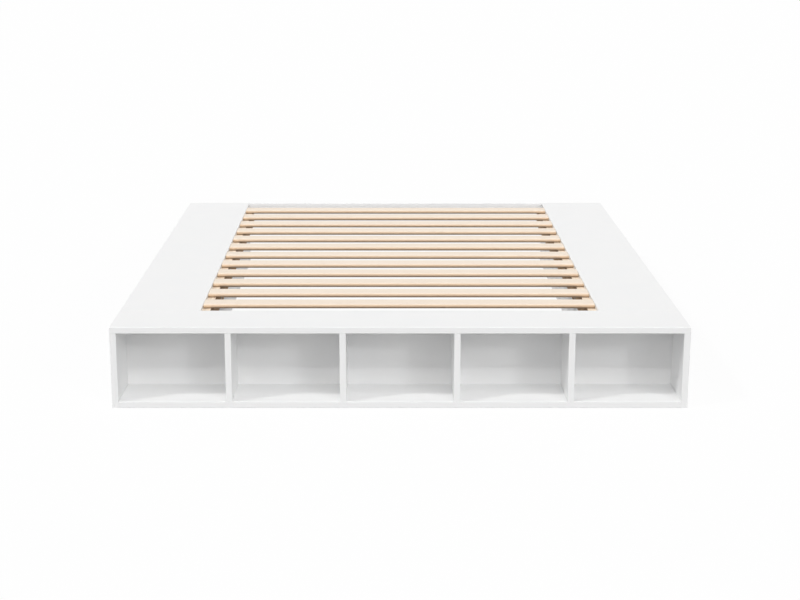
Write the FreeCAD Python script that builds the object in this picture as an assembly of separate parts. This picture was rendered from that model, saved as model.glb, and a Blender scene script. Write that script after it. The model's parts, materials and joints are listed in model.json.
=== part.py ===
import FreeCAD, Part
import os

# A double bed frame: three open storage units in a U, a head panel, and a slatted base between them.
# Millimetres. +Z is up, the foot end faces -Y, and the origin is on the floor under the middle.

Vector = FreeCAD.Vector

# Mattress that the bed is made for, and the free space round it
mattress_width = 1400.0
mattress_length = 2000.0
mattress_side_play = 7.0
mattress_end_play = 10.0

# Boards and storage units
board = 22.0
bed_height = 288.0
side_ledge = 285.0
foot_ledge = 226.0
foot_bays = 5
side_bays = 5
edge_bevel = 1.0
head_panel_height = 45.0
head_panel_play = 1.0

# Grooves that hold the dividers, bottom boards and back panels
groove_depth = 6.0
groove_stop = 14.0
groove_play = 0.1

# Slatted base
slat_count = 12
slat_width = 80.0
slat_thickness = 16.0
slat_recess = 1.0
slat_end_play = 1.0
slat_margin = 89.0
ledger_width = 28.0
ledger_height = 75.0
ledger_end_play = 4.0

# Wooden dowels between the end panels and the top boards
dowel_diameter = 8.0
dowel_length = 32.0
dowel_in_face = 12.0
dowel_play = 0.1
dowel_end_play = 1.0
dowel_inset = 40.0

# Bolts between the units, with a hexagon socket in the head
bolt_diameter = 6.0
bolt_grip = 14.0
bolt_head_diameter = 15.0
bolt_head_height = 3.0
bolt_socket = 4.0
bolt_socket_depth = 2.0
bolt_play = 0.1
bolt_end_play = 2.0
bolt_inset = 50.0

# Steel angles at the head end
bracket_leg = 40.0
bracket_steel = 3.0
bracket_height = 20.0
bracket_bend = 2.0
bracket_hole = 5.0

# Sizes worked out from the ones above
opening_width = mattress_width + 2 * mattress_side_play
opening_length = mattress_length + 2 * mattress_end_play
bed_width = opening_width + 2 * side_ledge
bed_length = foot_ledge + opening_length + board
foot_front = -bed_length / 2
opening_front = foot_front + foot_ledge
opening_back = opening_front + opening_length
head_back = bed_length / 2
wall_top = bed_height - board
tongue = groove_depth - groove_play
slat_seat = bed_height - slat_recess - slat_thickness
head_panel_low = bed_height - head_panel_height

up = Vector(0, 0, 1)
across = Vector(1, 0, 0)
along = Vector(0, 1, 0)
touch = 1e-6


def block(low, high):
    """A plain box between two opposite corners."""
    size = high - low
    return Part.makeBox(size.x, size.y, size.z, low)


def prism(points, sweep):
    """A solid swept from a flat outline."""
    outline = Part.makePolygon(points + points[:1])
    return Part.Face(outline).extrude(sweep)


def edges_on(shape, side, direction):
    """The straight edges on the face of a shape towards one side that run in one direction."""
    reach = max(vertex.Point.dot(side) for vertex in shape.Vertexes)
    found = []
    for edge in shape.Edges:
        start = edge.Vertexes[0].Point
        end = edge.Vertexes[-1].Point
        on_face = min(start.dot(side), end.dot(side)) > reach - touch
        in_line = abs((end - start).normalize().dot(direction)) > 1 - touch
        if on_face and in_line:
            found.append(edge)
    return found


def bevelled(shape, *places):
    """The shape with the edges at these (side, direction) places bevelled, as an edge band is trimmed."""
    edges = []
    for side, direction in places:
        for edge in edges_on(shape, side, direction):
            if not any(edge.isSame(other) for other in edges):
                edges.append(edge)
    return shape.makeChamfer(edge_bevel, edges)


def divider_centres(low, high, bays):
    """Places of the dividers that share out a stretch into equal clear bays."""
    clear = (high - low - (bays - 1) * board) / bays
    pitch = clear + board
    return [low + clear + board / 2 + i * pitch for i in range(bays - 1)]


def housed_outline(low, high, rear):
    """A board's outline as (span, depth) pairs. Behind a shoulder at its front both ends are tongues."""
    return [
        (low, 0),
        (low, groove_stop),
        (low - tongue, groove_stop),
        (low - tongue, rear),
        (high + tongue, rear),
        (high + tongue, groove_stop),
        (high, groove_stop),
        (high, 0),
    ]


def divider(centre, rear):
    """An upright that is housed in the top and bottom boards, with no joint in its front edge."""
    left = centre - board / 2
    outline = [Vector(left, y, z) for z, y in housed_outline(board, wall_top, rear)]
    return bevelled(prism(outline, across * board), (-along, up))


def divider_groove(centre, rear, low, high):
    """The room that a divider needs in the board above or below it."""
    half = board / 2 + groove_play
    return block(
        Vector(centre - half, groove_stop - groove_play, low),
        Vector(centre + half, rear, high),
    )


def bottom_board(inner, rear):
    """The floor of the bays, housed in the end panels."""
    outline = [Vector(x, y, 0) for x, y in housed_outline(-inner, inner, rear)]
    return bevelled(prism(outline, up * board), (-along, across))


def back_panel(inner, rear):
    """The wall behind the bays, with a tongue of half its thickness along the top."""
    middle = rear + board / 2
    outline = [
        Vector(-inner, rear, 0),
        Vector(-inner, rear + board, 0),
        Vector(-inner, rear + board, wall_top),
        Vector(-inner, middle, wall_top),
        Vector(-inner, middle, wall_top + tongue),
        Vector(-inner, rear, wall_top + tongue),
    ]
    return prism(outline, across * 2 * inner)


def back_panel_groove(inner, rear):
    """The room that the back panel's tongue needs in the top board."""
    return block(
        Vector(-inner, rear - groove_play, wall_top),
        Vector(inner, rear + board / 2 + groove_play, wall_top + groove_depth),
    )


def end_panel(inside, outside, depth):
    """An upright that closes one end of a unit, grooved for the bottom board."""
    panel = block(
        Vector(min(inside, outside), 0, 0),
        Vector(max(inside, outside), depth, wall_top),
    )
    panel = bevelled(panel, (-along, up))
    into = groove_depth if outside > inside else -groove_depth
    groove = block(
        Vector(min(inside, inside + into), groove_stop - groove_play, 0),
        Vector(max(inside, inside + into), depth - board, board + groove_play),
    )
    return panel.cut(groove)


def dowel_bore(seam):
    """The hole for one dowel, across the seam under a top board."""
    start = seam - up * (dowel_length - dowel_in_face + dowel_end_play)
    return Part.makeCylinder(dowel_diameter / 2 + dowel_play, dowel_length + 2 * dowel_end_play, start, up)


def dowel(seam):
    """A wooden pin, upright across the seam under a top board."""
    start = seam - up * (dowel_length - dowel_in_face)
    return Part.makeCylinder(dowel_diameter / 2, dowel_length, start, up)


def storage_unit(length, depth, bays, ends, bare_ends):
    """One open storage unit with its front on y = 0, its middle on x = 0 and its wall at the back.

    ends names its two end panels, and bare_ends gives the directions of the ends that stay in sight.
    """
    half = length / 2
    inner = half - board
    rear = depth - board

    top = block(Vector(-half, 0, wall_top), Vector(half, depth, bed_height))
    bare_edges = [(-along, across), (along, across)]
    for end in bare_ends:
        bare_edges += [(end, along), (end, up)]
    top = bevelled(top, *bare_edges).cut(back_panel_groove(inner, rear))
    bottom = bottom_board(inner, rear)
    pieces = {"back_panel": back_panel(inner, rear)}
    for number, centre in enumerate(divider_centres(-inner, inner, bays), start=1):
        top = top.cut(divider_groove(centre, rear, wall_top, wall_top + groove_depth))
        bottom = bottom.cut(divider_groove(centre, rear, board - groove_depth, board))
        pieces[f"divider_{number}"] = divider(centre, rear)

    dowels = []
    for end, side in zip(ends, (-1, 1)):
        panel = end_panel(side * inner, side * half, depth)
        for y in (dowel_inset, rear - dowel_inset):
            seam = Vector(side * (half - board / 2), y, wall_top)
            top = top.cut(dowel_bore(seam))
            panel = panel.cut(dowel_bore(seam))
            dowels.append(dowel(seam))
        pieces[f"{end}_end_panel"] = panel
    pieces["top_board"] = top
    pieces["bottom_board"] = bottom
    return pieces, dowels


def foot_unit():
    """The unit across the foot end, with both ends in sight."""
    pieces, dowels = storage_unit(
        bed_width, foot_ledge, foot_bays, ("left", "right"), (-across, across)
    )
    for shape in [*pieces.values(), *dowels]:
        shape.translate(Vector(0, foot_front, 0))
    return pieces, dowels


def right_unit():
    """The unit along the right side, which meets the foot unit and ends at the head."""
    length = head_back - opening_front
    pieces, dowels = storage_unit(length, side_ledge, side_bays, ("foot", "head"), (across,))
    for shape in [*pieces.values(), *dowels]:
        shape.rotate(Vector(), up, 90)
        shape.translate(Vector(bed_width / 2, opening_front + length / 2, 0))
    return pieces, dowels


def mirrored(shape):
    """The same piece on the other side of the bed."""
    return shape.mirror(Vector(), across)


def unit_bolt(seat):
    """A socket bolt that holds a side unit's foot end panel to the back panel of the foot unit."""
    shank = Part.makeCylinder(bolt_diameter / 2, board + bolt_grip, seat, -along)
    head = Part.makeCylinder(bolt_head_diameter / 2, bolt_head_height, seat, along)
    turn = FreeCAD.Rotation(along, 60)
    corners = [across * (bolt_socket / 3**0.5)]
    for _ in range(5):
        corners.append(turn.multVec(corners[-1]))
    mouth = seat + along * bolt_head_height
    socket = prism([mouth + corner for corner in corners], -along * bolt_socket_depth)
    return head.cut(socket).fuse(shank).removeSplitter()


def unit_bolt_bore(seat):
    """The hole for one unit bolt, through the end panel and blind in the back panel."""
    depth = board + bolt_grip + bolt_end_play
    return Part.makeCylinder(bolt_diameter / 2 + bolt_play, depth, seat, -along)


def head_panel():
    """The narrow panel between the side units, with its top level with their top boards."""
    half = opening_width / 2 - head_panel_play
    panel = block(Vector(-half, opening_back, head_panel_low), Vector(half, head_back, bed_height))
    return bevelled(panel, (up, across), (-up, across))


def right_slat_ledger():
    """The batten on the right inner wall that the slat ends lie on."""
    wall = opening_width / 2
    head_end = opening_back - bracket_leg - ledger_end_play
    batten = block(
        Vector(wall - ledger_width, opening_front + ledger_end_play, slat_seat - ledger_height),
        Vector(wall, head_end, slat_seat),
    )
    return bevelled(batten, (-across, along))


def slat(near_edge):
    """One cross slat with full-round long edges."""
    end = opening_width / 2 - slat_end_play
    radius = slat_thickness / 2
    near = near_edge + radius
    far = near_edge + slat_width - radius
    middle = slat_seat + radius
    low_near = Vector(-end, near, slat_seat)
    low_far = Vector(-end, far, slat_seat)
    high_near = Vector(-end, near, slat_seat + slat_thickness)
    high_far = Vector(-end, far, slat_seat + slat_thickness)
    outline = [
        Part.LineSegment(low_near, low_far),
        Part.Arc(low_far, Vector(-end, far + radius, middle), high_far),
        Part.LineSegment(high_far, high_near),
        Part.Arc(high_near, Vector(-end, near - radius, middle), low_near),
    ]
    face = Part.Face(Part.Wire([curve.toShape() for curve in outline]))
    return face.extrude(across * 2 * end)


def right_head_bracket():
    """A bent steel angle in the corner between the right inner wall and the head panel."""
    middle = (head_panel_low + slat_seat) / 2
    corner = Vector(opening_width / 2, opening_back, middle - bracket_height / 2)
    inward = -across
    forward = -along
    outside = bracket_bend + bracket_steel
    bend_centre = corner + (inward + forward) * outside
    halfway = (across + along).normalize()

    def leg_ends(leg, away):
        tip = corner + leg * bracket_leg
        return tip, tip + away * bracket_steel

    wall_tip, wall_lip = leg_ends(forward, inward)
    head_tip, head_lip = leg_ends(inward, forward)
    outline = [
        Part.LineSegment(wall_tip, bend_centre - inward * outside),
        Part.Arc(
            bend_centre - inward * outside,
            bend_centre + halfway * outside,
            bend_centre - forward * outside,
        ),
        Part.LineSegment(bend_centre - forward * outside, head_tip),
        Part.LineSegment(head_tip, head_lip),
        Part.LineSegment(head_lip, bend_centre - forward * bracket_bend),
        Part.Arc(
            bend_centre - forward * bracket_bend,
            bend_centre + halfway * bracket_bend,
            bend_centre - inward * bracket_bend,
        ),
        Part.LineSegment(bend_centre - inward * bracket_bend, wall_lip),
        Part.LineSegment(wall_lip, wall_tip),
    ]
    face = Part.Face(Part.Wire([curve.toShape() for curve in outline]))
    angle = face.extrude(up * bracket_height)
    hole_from_corner = (bracket_leg + outside) / 2
    for leg, through in ((inward, forward), (forward, inward)):
        hole = corner + leg * hole_from_corner + up * (bracket_height / 2)
        angle = angle.cut(Part.makeCylinder(bracket_hole / 2, bracket_steel, hole, through))
    return angle


def bolt_units(pieces):
    """Bores the side units and the foot unit where they meet, and returns the bolts."""
    bolts = []
    inner_place = opening_width / 2 + board + bolt_inset
    outer_place = bed_width / 2 - bolt_inset
    for side, direction in (("left", -1), ("right", 1)):
        for place in (inner_place, outer_place):
            seat = Vector(direction * place, opening_front + board, wall_top / 2)
            bolts.append(unit_bolt(seat))
            for name in (f"{side}_foot_end_panel", "foot_back_panel"):
                pieces[name] = pieces[name].cut(unit_bolt_bore(seat))
    return bolts


def slats():
    """The cross slats at an even pitch, with the same margin at the foot and at the head."""
    first = opening_front + slat_margin
    last = opening_back - slat_margin - slat_width
    pitch = (last - first) / (slat_count - 1)
    return {f"slat_{i + 1:02d}": slat(first + i * pitch) for i in range(slat_count)}


def bed():
    """Every piece of the bed by name."""
    foot_pieces, dowels = foot_unit()
    pieces = {f"foot_{name}": shape for name, shape in foot_pieces.items()}
    right_pieces, right_dowels = right_unit()
    for name, shape in right_pieces.items():
        pieces[f"right_{name}"] = shape
        pieces[f"left_{name}"] = mirrored(shape)
    dowels += right_dowels + [mirrored(shape) for shape in right_dowels]
    bolts = bolt_units(pieces)

    pieces["head_panel"] = head_panel()
    pieces["right_slat_ledger"] = right_slat_ledger()
    pieces["left_slat_ledger"] = mirrored(pieces["right_slat_ledger"])
    pieces.update(slats())

    bracket = right_head_bracket()
    pieces["head_brackets"] = Part.makeCompound([bracket, mirrored(bracket)])
    pieces["dowels"] = Part.makeCompound(dowels)
    pieces["unit_bolts"] = Part.makeCompound(bolts)
    return pieces


os.makedirs("parts", exist_ok=True)
for name, shape in bed().items():
    shape.exportStep(f"parts/{name}.step")
    print(f"{name}: {len(shape.Solids)} solid, {shape.Volume / 1e6:.3f} dm3, valid {shape.isValid()}")
print(f"bed {bed_width:.0f} wide, {bed_length:.0f} long, {bed_height:.0f} high")
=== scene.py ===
# %% [markdown]
# A white bed frame with open storage bays.
# This lesson dresses a finished CAD model. The boards, slats and fittings already have their true
# sizes and places, so nothing here moves or stretches them. What is left is what the eye sees first:
# the satin of white faced board, the grain of the slats, the screws, and a soft studio to show it in.

# %% Load the bed
import json
import math

import bmesh
import bpy
from mathutils import Matrix, Vector


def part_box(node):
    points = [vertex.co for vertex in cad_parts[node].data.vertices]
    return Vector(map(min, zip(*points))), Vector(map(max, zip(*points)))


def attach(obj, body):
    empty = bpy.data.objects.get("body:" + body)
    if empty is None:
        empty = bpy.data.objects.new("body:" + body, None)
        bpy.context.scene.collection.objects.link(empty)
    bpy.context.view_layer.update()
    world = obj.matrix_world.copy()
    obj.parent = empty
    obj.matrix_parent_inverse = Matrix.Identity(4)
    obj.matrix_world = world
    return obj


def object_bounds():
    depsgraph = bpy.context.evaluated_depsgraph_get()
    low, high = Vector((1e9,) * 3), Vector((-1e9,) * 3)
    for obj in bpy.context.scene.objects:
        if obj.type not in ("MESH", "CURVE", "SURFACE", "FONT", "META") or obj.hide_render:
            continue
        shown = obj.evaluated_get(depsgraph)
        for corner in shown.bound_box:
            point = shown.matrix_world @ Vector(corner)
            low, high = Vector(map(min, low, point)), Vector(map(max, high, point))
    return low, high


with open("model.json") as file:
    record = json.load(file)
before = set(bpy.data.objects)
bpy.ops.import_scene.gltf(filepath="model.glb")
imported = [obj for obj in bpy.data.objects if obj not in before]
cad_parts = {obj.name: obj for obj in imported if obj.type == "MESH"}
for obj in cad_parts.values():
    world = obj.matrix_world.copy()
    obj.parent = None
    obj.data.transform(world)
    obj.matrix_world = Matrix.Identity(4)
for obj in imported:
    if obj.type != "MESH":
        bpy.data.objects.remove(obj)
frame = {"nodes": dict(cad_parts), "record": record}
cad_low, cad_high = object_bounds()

nodes = frame["nodes"]
size = cad_high - cad_low
print(f"{len(nodes)} CAD pieces, {size.x:.3f} m wide, {size.y:.3f} m long, {size.z:.3f} m high")

# %% [markdown]
# The camera comes first, because everything else is judged through it. The bed stands on a page like
# an architect's drawing: its front is square to the view, and its long sides run to one vanishing point
# just left of the middle. A turned camera would slant the front, so the camera looks straight along
# the bed and the picture slides a little sideways instead, as a view camera's lens does.

# %% Place the camera
camera_place = Vector((-0.0536, -6.1592, 1.6737))
camera_tilt_down = math.radians(14.388)
camera_lens = 68.87
camera_sensor = 36.0
camera_slide = 0.0196

camera_data = bpy.data.cameras.new("camera")
camera_data.lens = camera_lens
camera_data.sensor_width = camera_sensor
camera_data.shift_x = camera_slide
camera = bpy.data.objects.new("camera", camera_data)
camera.location = camera_place
camera.rotation_euler = (math.pi / 2 - camera_tilt_down, 0, 0)
bpy.context.scene.collection.objects.link(camera)
bpy.context.scene.camera = camera
print(f"camera {-camera_place.y - size.y / 2:.2f} m in front of the foot end, {camera_place.z:.2f} m up")

# %% [markdown]
# A material is a small program of connected nodes. Written node by node it is hard to read, so one
# class wraps a socket and lets Python's own arithmetic add the Math nodes. Its node method adds any
# other kind: first the node's settings, then the values or links of its inputs.

# %% Arithmetic for shaders
class Signal:
    """One output of a node tree, which can be added, multiplied and so on like a number."""

    def __init__(self, tree, socket=None):
        self.tree = tree
        self.socket = socket

    def node(self, kind, settings, inputs, output=None):
        """Adds a node with its settings, then its inputs, and returns one of its outputs."""
        made = self.tree.nodes.new(kind)
        for name, value in settings.items():
            setattr(made, name, value)
        for name, value in inputs.items():
            socket = next(s for s in made.inputs if s.enabled and name in (s.name, s.identifier))
            if isinstance(value, Signal):
                self.tree.links.new(value.socket, socket)
            else:
                socket.default_value = value
        usable = [s for s in made.outputs if s.enabled and output in (None, s.name)]
        return Signal(self.tree, usable[0] if usable else None)

    def math(self, operation, *second):
        """A Math node with this signal as its first value, and a second one if the operation takes it."""
        values = {"Value": self}
        if second:
            values["Value_001"] = second[0]
        return self.node("ShaderNodeMath", {"operation": operation}, values)

    def reflected(self, operation, value):
        """A Math node with this signal as its second value."""
        return self.node("ShaderNodeMath", {"operation": operation}, {"Value": value, "Value_001": self})

    def __add__(self, other):
        return self.math("ADD", other)

    def __radd__(self, other):
        return self.reflected("ADD", other)

    def __sub__(self, other):
        return self.math("SUBTRACT", other)

    def __rsub__(self, other):
        return self.reflected("SUBTRACT", other)

    def __mul__(self, other):
        return self.math("MULTIPLY", other)

    def __truediv__(self, other):
        return self.math("DIVIDE", other)

    def clamped(self):
        """The signal held between 0 and 1."""
        return self.node("ShaderNodeClamp", {}, {"Value": self})

    def step(self, low, high):
        """Rises smoothly from 0 to 1 as the signal goes from low to high."""
        return self.node(
            "ShaderNodeMapRange",
            {"interpolation_type": "SMOOTHSTEP"},
            {"Value": self, "From Min": low, "From Max": high},
        )


def new_material(name):
    """An empty material and the signal that its nodes start from."""
    material = bpy.data.materials.new(name)
    material.use_nodes = True
    material.node_tree.nodes.clear()
    return material, Signal(material.node_tree)


def blend(factor, first, second):
    """A colour that goes from first to second with the factor."""
    inputs = {"Factor": factor, "A": first, "B": second}
    return factor.node("ShaderNodeMix", {"data_type": "RGBA"}, inputs)


def stretched(place, scale):
    """Coordinates stretched by a scale along each axis, so that a pattern can run with the grain."""
    inputs = {"Vector": place, "Vector_001": scale}
    return place.node("ShaderNodeVectorMath", {"operation": "MULTIPLY"}, inputs)


def noise(place, scale, detail=2.0):
    """Soft noise from 0 to 1 with this many bumps per metre."""
    return place.node("ShaderNodeTexNoise", {}, {"Vector": place, "Scale": scale, "Detail": detail})


def relief(height, depth):
    """A surface direction that rises and falls with the height, by this depth in metres."""
    return height.node("ShaderNodeBump", {}, {"Height": height, "Distance": depth, "Strength": 1.0})


def finish_material(start, shader):
    """Links a shader to the material's output."""
    start.node("ShaderNodeOutputMaterial", {}, {"Surface": shader})


print("shader arithmetic ready")

# %% [markdown]
# The studio is white all round, with lamps far away and a weak even sky. The key lamp is high at the
# left, a little to the front, and draws the slanting shadows on the floors of the storage bays. Three
# small lamps throw the edges of the boards on the back walls: a crisp and a softer one over the camera,
# and a low one at the right. A broad lamp above them lights the tops, two low ones at the front corners
# fill the side walls, and two behind light what faces away. To keep the page white without pouring more
# light on the bed, the sky and the floor look white only to rays that come from the camera, a mirror or
# a pane of glass. All other rays meet the softer values.

# %% Light the studio
sky_level = 0.24
# Turn, height and spread are in degrees
lamps = {
    "key_lamp": {"turn": -66, "height": 47, "spread": 5, "level": 0.96, "glint": True},
    "crisp_lamp": {"turn": 0, "height": 42.2, "spread": 1, "level": 0.28, "glint": False},
    "soft_lamp": {"turn": 0, "height": 46, "spread": 6, "level": 0.28, "glint": False},
    "slanting_lamp": {"turn": 38, "height": 23, "spread": 6, "level": 0.28, "glint": False},
    "broad_lamp": {"turn": 12, "height": 57, "spread": 29, "level": 0.9, "glint": False},
    "right_lamp": {"turn": 45, "height": 11, "spread": 50, "level": 0.9, "glint": False},
    "left_lamp": {"turn": -45, "height": 11, "spread": 50, "level": 0.62, "glint": False},
    "back_right_lamp": {"turn": 130, "height": 2, "spread": 8, "level": 1.2, "glint": False},
    "back_left_lamp": {"turn": -130, "height": 2, "spread": 8, "level": 1.2, "glint": False},
}


def hang_lamp(name, turn, height, spread, level, glint):
    """A far lamp. In degrees, turn is from the front towards the right, and height is above the floor.

    A lamp with no glint lights the bed but is not mirrored in it, like one behind a wide white screen.
    """
    lamp_data = bpy.data.lights.new(name, "SUN")
    lamp_data.energy = level
    lamp_data.angle = math.radians(spread)
    lamp = bpy.data.objects.new(name, lamp_data)
    lamp.rotation_euler = (math.radians(90 - height), 0, math.radians(turn))
    lamp.visible_glossy = glint
    bpy.context.scene.collection.objects.link(lamp)
    return lamp


def seen_directly(start):
    """One for rays from the camera, a mirror or a pane of glass, and zero for the rest."""
    camera_ray = start.node("ShaderNodeLightPath", {}, {}, "Is Camera Ray")
    mirror_ray = start.node("ShaderNodeLightPath", {}, {}, "Is Glossy Ray")
    pane_ray = start.node("ShaderNodeLightPath", {}, {}, "Is Transmission Ray")
    return camera_ray.math("MAXIMUM", mirror_ray).math("MAXIMUM", pane_ray)


lamp_objects = [hang_lamp(name, **facts) for name, facts in lamps.items()]
world = bpy.data.worlds.new("studio")
bpy.context.scene.world = world
world.use_nodes = True
world.node_tree.nodes.clear()
sky = Signal(world.node_tree)
soft_light = sky.node("ShaderNodeBackground", {}, {"Color": (1, 1, 1, 1), "Strength": sky_level})
white_page = sky.node("ShaderNodeBackground", {}, {"Color": (1, 1, 1, 1), "Strength": 1.0})
sky_shader = sky.node(
    "ShaderNodeMixShader", {}, {"Fac": seen_directly(sky), "Shader": soft_light, "Shader_001": white_page}
)
sky.node("ShaderNodeOutputWorld", {}, {"Surface": sky_shader})
bpy.context.scene.view_settings.view_transform = "Standard"
print(f"{len(lamp_objects)} lamps and a sky of {sky_level}")

# %% [markdown]
# The floor is one large pale sheet. Its shader mixes a plain matt colour with a white glow. Seen
# directly the sheet is white and the glow is strong, which leaves the bed's shadow faint on a white
# page. For light that bounces up to the bed the sheet is a matt mid grey, so the underside stays dim.

# %% Lay the floor
floor_reach = 60.0
floor_white = (0.9, 0.9, 0.9, 1)
floor_tone = (0.25, 0.25, 0.25, 1)
floor_glow = 0.94

floor_mesh = bpy.data.meshes.new("floor")
corners = [(x * floor_reach, y * floor_reach, 0) for x, y in ((-1, -1), (1, -1), (1, 1), (-1, 1))]
floor_mesh.from_pydata(corners, [], [(0, 1, 2, 3)])
floor = bpy.data.objects.new("floor", floor_mesh)
bpy.context.scene.collection.objects.link(floor)

floor_material, start = new_material("floor")
seen = seen_directly(start)
matt = start.node("ShaderNodeBsdfDiffuse", {}, {"Color": blend(seen, floor_tone, floor_white)})
glow = start.node("ShaderNodeEmission", {}, {"Color": (1, 1, 1, 1), "Strength": 1.0})
page = start.node(
    "ShaderNodeMixShader", {}, {"Fac": seen * floor_glow, "Shader": matt, "Shader_001": glow}
)
finish_material(start, page)
floor_mesh.materials.append(floor_material)
print(f"floor {2 * floor_reach:.0f} m square")

# %% [markdown]
# The boards are chipboard with a white melamine face. Such a face is never a flat paint: the press
# plate leaves a fine pearl of tiny bumps about a millimetre across, and the sheet is very slightly
# wavy. One noise gives the pearl, in the roughness and the surface direction. A slow one gives the
# waviness, in the roughness and in a change of the white that is hardly to be seen.

# %% White faced board
board_white = (0.87, 0.87, 0.868, 1)
board_cool = (0.865, 0.867, 0.868, 1)
board_roughness = 0.40
board_ior = 1.5
pearl_per_metre = 650
pearl_roughness = 0.18
pearl_depth = 0.00003
wave_per_metre = 9
wave_limits = (0.35, 0.65)
wave_roughness = 0.10


def white_board():
    """White melamine-faced board with a fine pressed pearl."""
    material, start = new_material("white_board")
    place = start.node("ShaderNodeTexCoord", {}, {}, "Object")
    pearl = noise(place, pearl_per_metre, detail=1.0)
    wave = noise(place, wave_per_metre, detail=3.0)
    colour = blend(wave.step(*wave_limits), board_white, board_cool)
    roughness = board_roughness + (pearl - 0.5) * pearl_roughness + (wave - 0.5) * wave_roughness
    shader = start.node(
        "ShaderNodeBsdfPrincipled",
        {},
        {
            "Base Color": colour,
            "Roughness": roughness,
            "IOR": board_ior,
            "Normal": relief(pearl, pearl_depth),
        },
    )
    finish_material(start, shader)
    return material


def dress(material, names):
    """Gives a material to CAD pieces."""
    for name in names:
        mesh = nodes[name].data
        mesh.materials.clear()
        mesh.materials.append(material)
    print(f"{material.name} on {len(names)} pieces")


slot_of = {part["node"]: part["material_slot"] for part in frame["record"]["subparts"]}


def nodes_in(slot):
    """Names of the CAD pieces that the record puts in one material slot."""
    return sorted(name for name in nodes if slot_of[name] == slot)


dress(white_board(), nodes_in("white_board"))

# %% [markdown]
# The slats are pale planed wood with a clear satin coat. Such wood shows long flame shapes, fine
# fibres along the slat and short dark flecks. Each is a noise that is stretched along the slat, and the
# contour lines of a slow noise draw the flames. The rounded edges are browner, partly from the own tone
# of the cut fibres and partly as painted shade. The underside is darker still, as painted shade. The
# surface direction tells them apart. Slats come from different logs, so each takes its own tone from
# its place in the row.

# %% Slat wood
slat_names = nodes_in("slat_wood")
first_low, first_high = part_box(slat_names[0])
second_low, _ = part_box(slat_names[1])
slat_pitch = second_low.y - first_low.y
slat_gap = second_low.y - first_high.y
slat_pale = (0.91, 0.80, 0.68, 1)
slat_warm = (0.87, 0.745, 0.61, 1)
slat_fleck = (0.68, 0.50, 0.34, 1)
# The next colour is partly the cut fibres' own brown and partly painted shade on the rounded edges.
slat_edge_tone_and_shade = (0.66, 0.49, 0.34, 1)
# The next colour is painted shade for the underside of each slat.
slat_under_shade = (0.36, 0.25, 0.165, 1)
slat_flame_stretch = (0.9, 16, 16)
slat_flame_lines = 60
slat_fibre_stretch = (28, 1500, 1500)
slat_fibre_depth = 0.000008
slat_fleck_stretch = (120, 900, 900)
slat_fleck_limits = (0.66, 0.74)
slat_edge_shade_limits = (0.45, 1.05)
slat_under_shade_limits = (-0.7, 0.25)
slat_flame_share = 0.30
slat_fibre_share = 0.35
slat_tone_share = 0.35
slat_fleck_share = 0.30
slat_roughness = 0.40
slat_rougher = 0.10
slat_specular = 0.35


def slat_wood():
    """Pale planed wood with its grain along X, a tone for each slat, painted shade on the underside, and
    edges browner partly by their own tone and partly by painted shade.
    """
    material, start = new_material("slat_wood")
    place = start.node("ShaderNodeTexCoord", {}, {}, "Object")
    y = place.node("ShaderNodeSeparateXYZ", {}, {"Vector": place}, "Y")
    number = ((y - (first_low.y - slat_gap / 2)) / slat_pitch).math("FLOOR")
    tone = number.node("ShaderNodeTexWhiteNoise", {"noise_dimensions": "1D"}, {"W": number}, "Value")

    flame_field = noise(stretched(place, slat_flame_stretch), 1.0, detail=1.5)
    flames = (flame_field * slat_flame_lines).math("SINE") * 0.5 + 0.5
    fibres = noise(stretched(place, slat_fibre_stretch), 1.0)
    flecks = noise(stretched(place, slat_fleck_stretch), 1.0, detail=0.0).step(*slat_fleck_limits)
    warmth = flames * slat_flame_share + fibres * slat_fibre_share + tone * slat_tone_share
    colour = blend(warmth.clamped(), slat_pale, slat_warm)
    colour = blend(flecks * slat_fleck_share, colour, slat_fleck)

    facing = start.node("ShaderNodeNewGeometry", {}, {}, "Normal")
    upward = facing.node("ShaderNodeSeparateXYZ", {}, {"Vector": facing}, "Z")
    # Painted shade: the rounded edges turn browner, partly their own tone, and the underside turns dark.
    colour = blend(1 - upward.step(*slat_edge_shade_limits), colour, slat_edge_tone_and_shade)
    colour = blend(1 - upward.step(*slat_under_shade_limits), colour, slat_under_shade)

    roughness = slat_roughness + fibres * slat_rougher + flecks * slat_rougher
    shader = start.node(
        "ShaderNodeBsdfPrincipled",
        {},
        {
            "Base Color": colour,
            "Roughness": roughness,
            "Specular IOR Level": slat_specular,
            "Normal": relief(fibres, slat_fibre_depth),
        },
    )
    finish_material(start, shader)
    return material


dress(slat_wood(), slat_names)

# %% [markdown]
# The ledgers under the slat ends are softwood. Its year rings run as straight lines along the batten,
# pale in spring and darker in late summer. The sides are painted much darker and browner than the top,
# as painted shade, and the surface direction decides between the two. Raw wood hardly
# shines, so its specular level is low.

# %% Ledger wood
ledger_pale = (0.94, 0.82, 0.67, 1)
ledger_late = (0.87, 0.71, 0.54, 1)
# The next two colours are painted shade: a darker, browner copy of the wood for the ledger's sides.
side_shade_pale = (0.62, 0.42, 0.26, 1)
side_shade_late = (0.42, 0.26, 0.14, 1)
ring_stretch = (26, 0.8, 26)
ring_lines = 70
ring_limits = (0.45, 1.0)
ring_share = 0.6
side_shade_limits = (0.3, 0.7)
ledger_fibre_stretch = (1400, 30, 1400)
ledger_fibre_share = 0.3
ledger_fibre_depth = 0.00006
ledger_roughness = 0.6
ledger_rougher = 0.2
ledger_specular = 0.08


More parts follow.
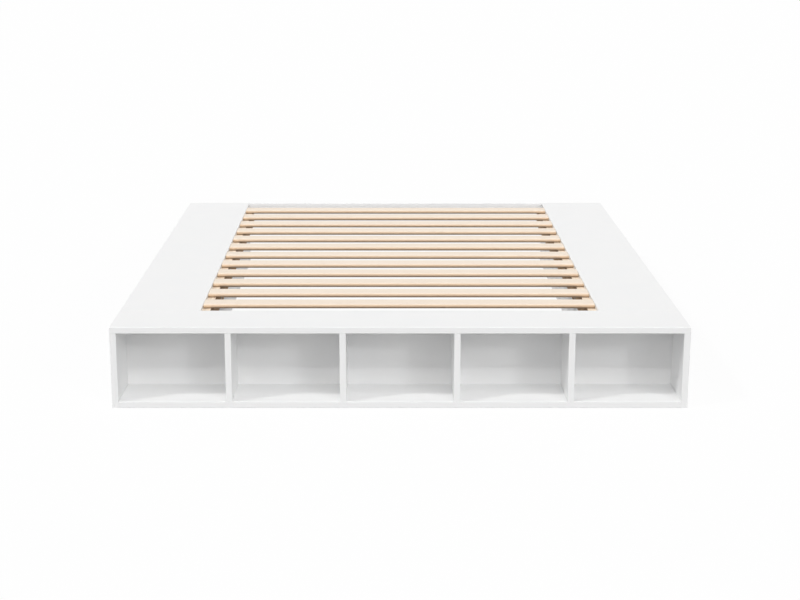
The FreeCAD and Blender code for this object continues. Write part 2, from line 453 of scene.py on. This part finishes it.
def ledger_wood():
    """Softwood with year rings along Y, with painted shade that darkens its sides."""
    material, start = new_material("ledger_wood")
    place = start.node("ShaderNodeTexCoord", {}, {}, "Object")
    field = noise(stretched(place, ring_stretch), 1.0)
    rings = (field * ring_lines).math("SINE") * 0.5 + 0.5
    fibres = noise(stretched(place, ledger_fibre_stretch), 1.0)
    late_wood = (rings.step(*ring_limits) * ring_share + fibres * ledger_fibre_share).clamped()
    facing = start.node("ShaderNodeNewGeometry", {}, {}, "Normal")
    upward = facing.node("ShaderNodeSeparateXYZ", {}, {"Vector": facing}, "Z")
    planed = blend(late_wood, ledger_pale, ledger_late)
    # Painted shade: the sides take the darker copy of the wood.
    side_shade_colour = blend(late_wood, side_shade_pale, side_shade_late)
    shader = start.node(
        "ShaderNodeBsdfPrincipled",
        {},
        {
            # The surface direction puts the painted shade on the sides and the wood's own colour on top.
            "Base Color": blend(upward.step(*side_shade_limits), side_shade_colour, planed),
            "Roughness": ledger_roughness + fibres * ledger_rougher,
            "Specular IOR Level": ledger_specular,
            "Normal": relief(fibres, ledger_fibre_depth),
        },
    )
    finish_material(start, shader)
    return material


dress(ledger_wood(), nodes_in("ledger_wood"))

# %% [markdown]
# Dowels are turned beech pins in the corner joints, where nothing shows them once the bed is built.
# Taken apart they do show, so they have a finish too. Their flutes are too fine to see, and one noise
# that is stretched along the pin gives the fibres.

# %% Dowel wood
dowel_pale = (0.76, 0.56, 0.37, 1)
dowel_dark = (0.62, 0.42, 0.25, 1)
dowel_fibre_stretch = (1600, 1600, 60)
dowel_fibre_depth = 0.00005
dowel_roughness = 0.55
dowel_rougher = 0.15


def dowel_wood():
    """Turned hardwood with fibres along Z."""
    material, start = new_material("dowel_wood")
    place = start.node("ShaderNodeTexCoord", {}, {}, "Object")
    fibres = noise(stretched(place, dowel_fibre_stretch), 1.0)
    shader = start.node(
        "ShaderNodeBsdfPrincipled",
        {},
        {
            "Base Color": blend(fibres, dowel_pale, dowel_dark),
            "Roughness": dowel_roughness + fibres * dowel_rougher,
            "Normal": relief(fibres, dowel_fibre_depth),
        },
    )
    finish_material(start, shader)
    return material


dress(dowel_wood(), nodes_in("dowel_wood"))

# %% [markdown]
# The brackets, bolts and screws are zinc-plated steel. Zinc is a soft grey metal with a faint cloudy
# bloom. A slow noise gives the bloom in the colour and the roughness, and a fine one the grain of the
# plating. A bare metal has its colour in what it mirrors, so it is fully metallic.

# %% Zinc-plated steel
zinc_bright = (0.66, 0.67, 0.68, 1)
zinc_dull = (0.55, 0.56, 0.58, 1)
bloom_per_metre = 90
bloom_limits = (0.3, 0.7)
bloom_roughness = 0.14
grain_per_metre = 2500
grain_roughness = 0.06
grain_depth = 0.00001
zinc_roughness = 0.28


def fitting_steel():
    """Zinc-plated steel with a faint cloudy bloom."""
    material, start = new_material("fitting_steel")
    place = start.node("ShaderNodeTexCoord", {}, {}, "Object")
    bloom = noise(place, bloom_per_metre, detail=3.0)
    grain = noise(place, grain_per_metre, detail=1.0)
    shader = start.node(
        "ShaderNodeBsdfPrincipled",
        {},
        {
            "Base Color": blend(bloom.step(*bloom_limits), zinc_bright, zinc_dull),
            "Metallic": 1.0,
            "Roughness": zinc_roughness + bloom * bloom_roughness + grain * grain_roughness,
            "Normal": relief(grain, grain_depth),
        },
    )
    finish_material(start, shader)
    return material


zinc = fitting_steel()
dress(zinc, nodes_in("fitting_steel"))

# %% [markdown]
# Cross-head screws hold the ledgers to the walls and the brackets to the boards. A real head is turned
# to a dome and then struck with a cross-shaped punch. Here it is a polar grid of points: each ring
# follows the dome, and the points under the punch are pushed down. One mesh serves all the screws of
# a kind, and each is turned by its own angle, as a hand leaves them.

# %% Cross-head screws
screw_radius = 0.0045
pan_height = 0.0026
flat_height = 0.0010
cross_reach = 0.0025
cross_half_width = 0.0007
cross_slope = 0.0003
cross_depth = 0.0014
cross_most = 0.8
dome_power = 5
screw_rings = 12
screw_sides = 32
ledger_screws = 6
ledger_screw_inset = 0.08
ledger_screw_low = 0.3
ledger_screw_high = 0.7
ledger_screw_turn = 0.9
head_screw_turn = 0.4
wall_screw_turn = 1.1
bracket_steel = 0.003
bracket_outer_bend = 0.005


def punched(u, v):
    """Share of the punch's depth at a place on the head: one in the cross and zero outside it."""
    beside = (min(abs(u), abs(v)) - cross_half_width) / cross_slope
    beyond = (max(abs(u), abs(v)) - cross_reach) / cross_slope
    return 1 - min(max(beside, beyond, 0), 1)


def screw_mesh(name, height):
    """A domed screw head of this height on the plane z = 0, with a cross punched into it."""
    shape = bmesh.new()
    depth = min(cross_depth, height * cross_most)
    rings = []
    for ring in range(1, screw_rings + 1):
        share = math.sin(math.pi / 2 * ring / screw_rings)
        top = height * math.sqrt(max(0, 1 - share ** dome_power))
        points = []
        for side in range(screw_sides):
            angle = 2 * math.pi * side / screw_sides
            u = screw_radius * share * math.cos(angle)
            v = screw_radius * share * math.sin(angle)
            points.append(shape.verts.new((u, v, top - depth * punched(u, v))))
        rings.append(points)
    middle = shape.verts.new((0, 0, height - depth))
    for side in range(screw_sides):
        after = (side + 1) % screw_sides
        shape.faces.new((middle, rings[0][side], rings[0][after]))
        for inner, outer in zip(rings, rings[1:]):
            shape.faces.new((inner[side], outer[side], outer[after], inner[after]))
    shape.faces.new(reversed(rings[-1]))
    mesh = bpy.data.meshes.new(name)
    shape.to_mesh(mesh)
    shape.free()
    mesh.materials.append(zinc)
    return mesh


def drive_screw(name, mesh, place, outward, turn):
    """Sets a screw head on a surface at this place, facing outward."""
    screw = bpy.data.objects.new(name, mesh)
    facing_out = outward.to_track_quat("Z", "Y").to_matrix().to_4x4()
    screw.matrix_world = Matrix.Translation(place) @ facing_out @ Matrix.Rotation(turn, 4, "Z")
    bpy.context.scene.collection.objects.link(screw)
    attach(screw, "root")
    return screw


flat_screw = screw_mesh("flat_screw", flat_height)
pan_screw = screw_mesh("pan_screw", pan_height)
bracket_low, bracket_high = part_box("head_brackets")
bracket_hole = (bracket_high.y - bracket_low.y + bracket_outer_bend) / 2
bracket_middle = (bracket_low.z + bracket_high.z) / 2
screws = []
from_head = Vector((0, -1, 0))
for side_name, inward in (("left", 1), ("right", -1)):
    from_wall = Vector((inward, 0, 0))
    low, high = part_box(f"{side_name}_slat_ledger")
    face = high.x if inward > 0 else low.x
    span = high.y - low.y - 2 * ledger_screw_inset
    for number in range(ledger_screws):
        along = low.y + ledger_screw_inset + span * number / (ledger_screws - 1)
        up_share = ledger_screw_low if number % 2 else ledger_screw_high
        name = f"{side_name}_ledger_screw_{number + 1}"
        place = Vector((face, along, low.z + (high.z - low.z) * up_share))
        turn = ledger_screw_turn * number
        screws.append(drive_screw(name, flat_screw, place, from_wall, turn))
    wall = -inward * bracket_high.x
    on_head = Vector((wall + inward * bracket_hole, bracket_high.y - bracket_steel, bracket_middle))
    on_wall = Vector((wall + inward * bracket_steel, bracket_high.y - bracket_hole, bracket_middle))
    head_name = f"{side_name}_head_screw"
    wall_name = f"{side_name}_wall_screw"
    screws.append(drive_screw(head_name, pan_screw, on_head, from_head, head_screw_turn))
    screws.append(drive_screw(wall_name, pan_screw, on_wall, from_wall, wall_screw_turn))
print(f"{len(screws)} screws of {len(flat_screw.polygons)} faces each")
